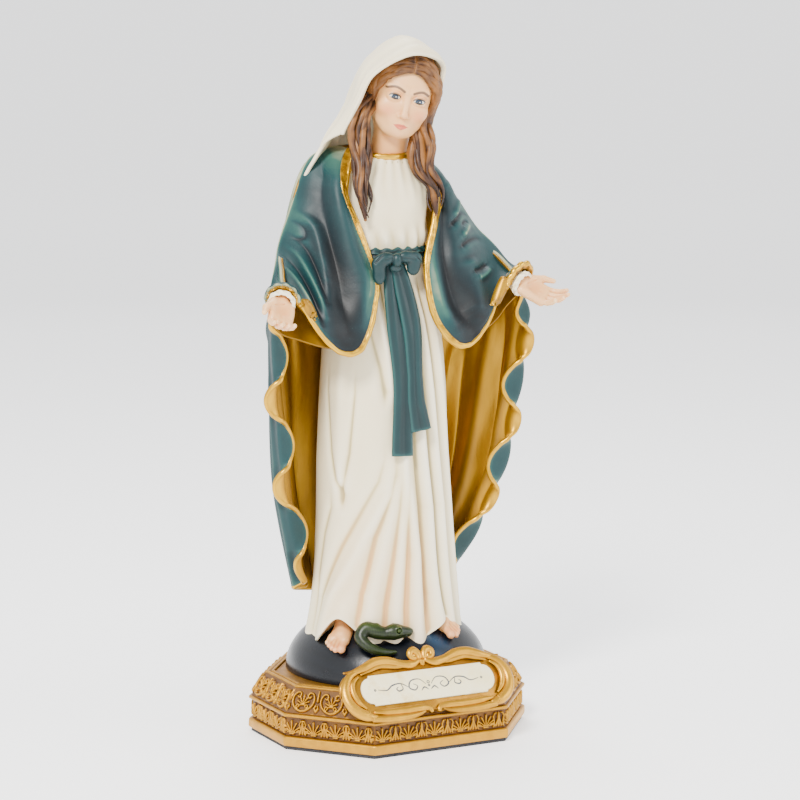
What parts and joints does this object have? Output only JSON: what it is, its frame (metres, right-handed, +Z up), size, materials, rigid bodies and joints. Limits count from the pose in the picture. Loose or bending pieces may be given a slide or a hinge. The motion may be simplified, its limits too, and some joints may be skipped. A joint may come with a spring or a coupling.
{
  "type": "standing figure on a plinth",
  "caption": "Standing robed and veiled figure in painted cast resin with open arms, on a globe and an ornamental eight-sided plinth.",
  "frame": {"origin": "centre of the plinth's resting face, under the felt", "axes": "+Z up along the figure, the figure faces -Y, +X to the figure's own left"},
  "size_m": [0.1479, 0.1044, 0.3014],
  "materials": {
    "felt": "dark woven felt",
    "base_gilt": "antique gold paint over a brown wash",
    "bright_gilt": "bright gold paint",
    "plate_paint": "satin cream",
    "globe_paint": "satin blue black with lighter brushed highlights",
    "serpent_paint": "satin dark olive",
    "skin_paint": "satin flesh tone",
    "gown_paint": "satin ivory with warm shading in the folds",
    "sash_paint": "satin teal",
    "veil_paint": "matt ivory",
    "hair_paint": "satin chestnut with gold touches",
    "mantle_paint": "satin airbrushed teal",
    "steel": "plain steel"
  },
  "bodies": {
    "root": {"felt_pad": "felt", "plinth": "base_gilt", "cartouche_frame": "base_gilt", "name_plate": "plate_paint", "globe": "globe_paint", "serpent": "serpent_paint", "foot_right": "skin_paint", "foot_left": "skin_paint", "gown": "gown_paint", "waist_sash": "sash_paint", "sash_bow": "sash_paint", "sash_tails": "sash_paint", "neck_trim": "bright_gilt", "head": "skin_paint", "hair_crown": "hair_paint", "hair_lock_right": "hair_paint", "hair_lock_left": "hair_paint", "veil": "veil_paint", "mantle_back": "mantle_paint", "mantle_drape_right": "mantle_paint", "mantle_drape_left": "mantle_paint", "mantle_bead_right": "bright_gilt", "mantle_bead_left": "bright_gilt", "sleeve_right": "gown_paint", "sleeve_left": "gown_paint", "hand_right": "skin_paint", "hand_left": "skin_paint", "wrist_pin_right": "steel", "wrist_pin_left": "steel", "base_screw": "steel", "screw_washer": "steel"}
  },
  "joints": []
}
